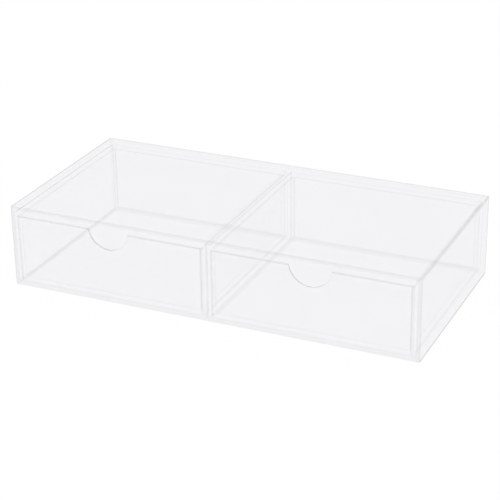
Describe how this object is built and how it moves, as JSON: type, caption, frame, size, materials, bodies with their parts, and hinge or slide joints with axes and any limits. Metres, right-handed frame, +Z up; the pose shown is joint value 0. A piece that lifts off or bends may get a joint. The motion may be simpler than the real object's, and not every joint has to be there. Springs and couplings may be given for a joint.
{
  "type": "drawer organizer",
  "caption": "Flat stackable drawer box of clear plastic sheet: an open-fronted housing with side-by-side drawers that slide out, each with a round finger notch in its front.",
  "frame": {"origin": "middle of the housing's underside", "axes": "+X to the right as seen from the front, +Y from the drawer fronts to the back, +Z up"},
  "size_m": [0.3, 0.144, 0.06],
  "materials": {
    "housing_clear": "clear, polished, very slightly cool grey",
    "drawer_clear": "clear, polished, very slightly cool grey"
  },
  "bodies": {
    "housing": {"top_panel": "housing_clear", "base_panel": "housing_clear", "left_side_panel": "housing_clear", "right_side_panel": "housing_clear", "back_panel": "housing_clear", "centre_divider": "housing_clear"},
    "left_drawer": {"left_drawer_front": "drawer_clear", "left_drawer_back": "drawer_clear", "left_drawer_left_side": "drawer_clear", "left_drawer_right_side": "drawer_clear", "left_drawer_floor": "drawer_clear"},
    "right_drawer": {"right_drawer_front": "drawer_clear", "right_drawer_back": "drawer_clear", "right_drawer_left_side": "drawer_clear", "right_drawer_right_side": "drawer_clear", "right_drawer_floor": "drawer_clear"}
  },
  "joints": [
    {"name": "left_drawer_slide", "type": "slide", "parent": "housing", "child": "left_drawer", "axis": [0, -1, 0], "range_m": [0, 0.14]},
    {"name": "right_drawer_slide", "type": "slide", "parent": "housing", "child": "right_drawer", "axis": [0, -1, 0], "range_m": [0, 0.14]}
  ]
}
